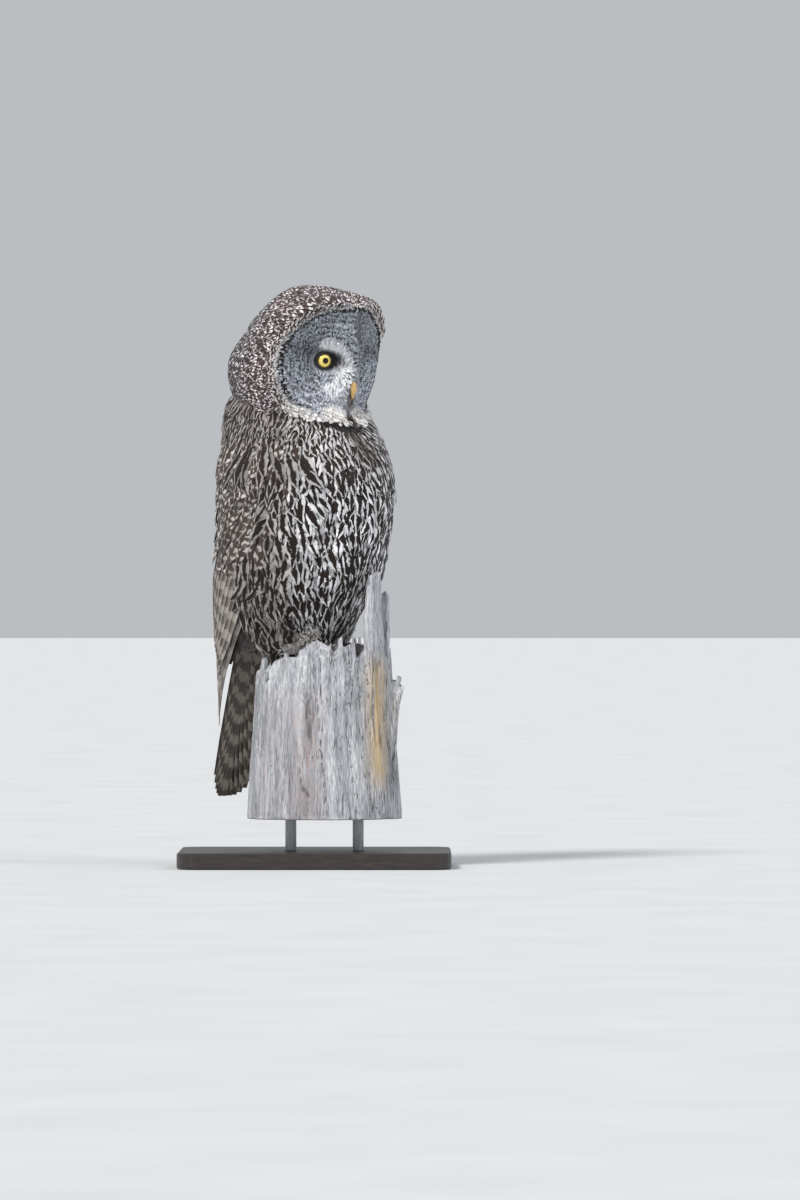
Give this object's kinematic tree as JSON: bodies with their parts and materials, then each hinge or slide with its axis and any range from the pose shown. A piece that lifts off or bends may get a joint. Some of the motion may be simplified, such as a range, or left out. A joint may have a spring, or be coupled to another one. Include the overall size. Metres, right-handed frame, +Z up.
{
  "type": "great grey owl",
  "caption": "Life-size great grey owl in full plumage, gripping the broken top of a weathered snag, its tail hanging behind, on a flat display stand.",
  "frame": {"origin": "middle of the display stand's underside", "axes": "+Z up; the picture's camera stands at -Y and sees +X on its right; the owl's body faces between +X and -Y"},
  "size_m": [0.34, 0.28, 0.7223],
  "materials": {
    "plumage": "soft grey-brown body feathers, mottled with white",
    "flight_feathers": "stiff brown feathers barred with buff grey",
    "leg_down": "short pale feathering",
    "iris": "clear wet yellow eye with a black pupil",
    "bill": "waxy dull yellow horn",
    "claw": "smooth black horn",
    "weathered_wood": "silver-grey weathered wood, deeply grained",
    "stand": "dark satin wood",
    "rod_steel": "brushed"
  },
  "bodies": {
    "root": {"head": "plumage", "neck": "plumage", "torso": "plumage", "wing_right": "flight_feathers", "wing_left": "flight_feathers", "tail": "flight_feathers", "leg_right": "leg_down", "leg_left": "leg_down", "foot_right": "leg_down", "foot_left": "leg_down", "eye_right": "iris", "eye_left": "iris", "bill_upper": "bill", "bill_lower": "bill", "claw_right_1": "claw", "claw_right_2": "claw", "claw_right_3": "claw", "claw_right_4": "claw", "claw_left_1": "claw", "claw_left_2": "claw", "claw_left_3": "claw", "claw_left_4": "claw", "perch_snag": "weathered_wood", "stand_base": "stand", "stand_rod_right": "rod_steel", "stand_rod_left": "rod_steel"}
  },
  "joints": []
}
